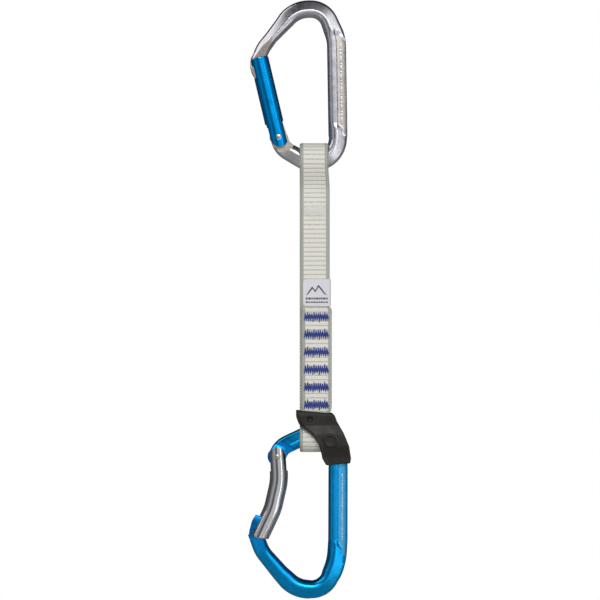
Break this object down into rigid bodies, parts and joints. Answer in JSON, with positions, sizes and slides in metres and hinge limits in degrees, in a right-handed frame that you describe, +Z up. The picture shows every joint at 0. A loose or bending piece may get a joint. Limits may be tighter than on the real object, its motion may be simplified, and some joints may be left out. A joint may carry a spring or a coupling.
{
  "type": "climbing quickdraw",
  "caption": "Straight-gate carabiner over a stitched nylon sling over a bent-gate carabiner, with a rubber keeper; links a climbing anchor to a rope.",
  "frame": {"origin": "inside of the upper carabiner's basket at its top, where the draw hangs on its anchor, in the middle plane of both carabiners", "axes": "+Z up along the draw, +X from the gates towards the spines, +Y through both carabiners from their front to their back"},
  "size_m": [0.0569, 0.0196, 0.3302],
  "materials": {
    "polished_aluminium_body": "polished forging with milled flats",
    "blue_anodised_gate": "blue anodised, satin bright",
    "steel_rivet": "headed and polished",
    "spring_steel": "drawn wire",
    "plunger_steel": "turned",
    "webbing": "woven nylon webbing with grey-green edges",
    "white_thread": "bonded nylon thread",
    "blue_thread": "bonded nylon thread",
    "woven_label": "woven satin label with a plain printed shape",
    "keeper_rubber": "moulded, semi-matt",
    "blue_anodised_body": "blue anodised forging",
    "polished_aluminium_gate": "polished rod"
  },
  "bodies": {
    "upper_carabiner": {"upper_body": "polished_aluminium_body", "upper_gate_rivet": "steel_rivet"},
    "upper_gate_arm": {"upper_gate": "blue_anodised_gate", "upper_gate_spring": "spring_steel"},
    "upper_plunger": {"upper_gate_plunger": "plunger_steel"},
    "sling_top": {"sling_upper": "webbing", "bar_tack_white": "white_thread"},
    "sling_bottom": {"sling_lower": "webbing", "label": "woven_label", "bar_tack_blue_1": "blue_thread", "bar_tack_blue_2": "blue_thread", "bar_tack_blue_3": "blue_thread", "bar_tack_blue_4": "blue_thread", "bar_tack_blue_5": "blue_thread", "bar_tack_blue_6": "blue_thread"},
    "lower_carabiner": {"lower_body": "blue_anodised_body", "lower_gate_rivet": "steel_rivet", "keeper": "keeper_rubber"},
    "lower_gate_arm": {"lower_gate": "polished_aluminium_gate", "lower_gate_spring": "spring_steel"},
    "lower_plunger": {"lower_gate_plunger": "plunger_steel"}
  },
  "joints": [
    {"name": "upper_gate_pivot", "type": "hinge", "parent": "upper_carabiner", "child": "upper_gate_arm", "pos_m": [-0.0179, 0, -0.0657], "axis": [0, 1, 0], "range_deg": [0, 40], "stiffness_Nm_per_rad": 0.25, "springref_deg": -34.38},
    {"name": "upper_plunger_slide", "type": "slide", "parent": "upper_gate_arm", "child": "upper_plunger", "axis": [-0.23, 0, 0.9732], "range_m": [0, 0.002], "deforming": ["upper_gate_spring"]},
    {"name": "upper_swing", "type": "hinge", "parent": "upper_carabiner", "child": "sling_top", "pos_m": [0.002, 0, -0.0779], "axis": [1, 0, 0], "range_deg": [-100, 100]},
    {"name": "sling_twist", "type": "hinge", "parent": "sling_top", "child": "sling_bottom", "pos_m": [0.002, 0, -0.1253], "axis": [0, 0, 1], "range_deg": [-90, 90], "stiffness_Nm_per_rad": 0.02},
    {"name": "lower_swing", "type": "hinge", "parent": "sling_bottom", "child": "lower_carabiner", "pos_m": [0.002, 0, -0.2316], "axis": [1, 0, 0], "range_deg": [-20, 20], "stiffness_Nm_per_rad": 0.3, "deforming": ["keeper"]},
    {"name": "lower_gate_pivot", "type": "hinge", "parent": "lower_carabiner", "child": "lower_gate_arm", "pos_m": [-0.0185, 0, -0.242], "axis": [0, -1, 0], "range_deg": [0, 38], "stiffness_Nm_per_rad": 0.25, "springref_deg": -34.38},
    {"name": "lower_plunger_slide", "type": "slide", "parent": "lower_gate_arm", "child": "lower_plunger", "axis": [0.0419, 0, -0.9991], "range_m": [0, 0.002], "deforming": ["lower_gate_spring"]}
  ],
  "couplings": [
    {"joint": "upper_plunger_slide", "follows": "upper_gate_pivot", "m_per_rad": 0.002},
    {"joint": "lower_plunger_slide", "follows": "lower_gate_pivot", "m_per_rad": 0.002}
  ]
}
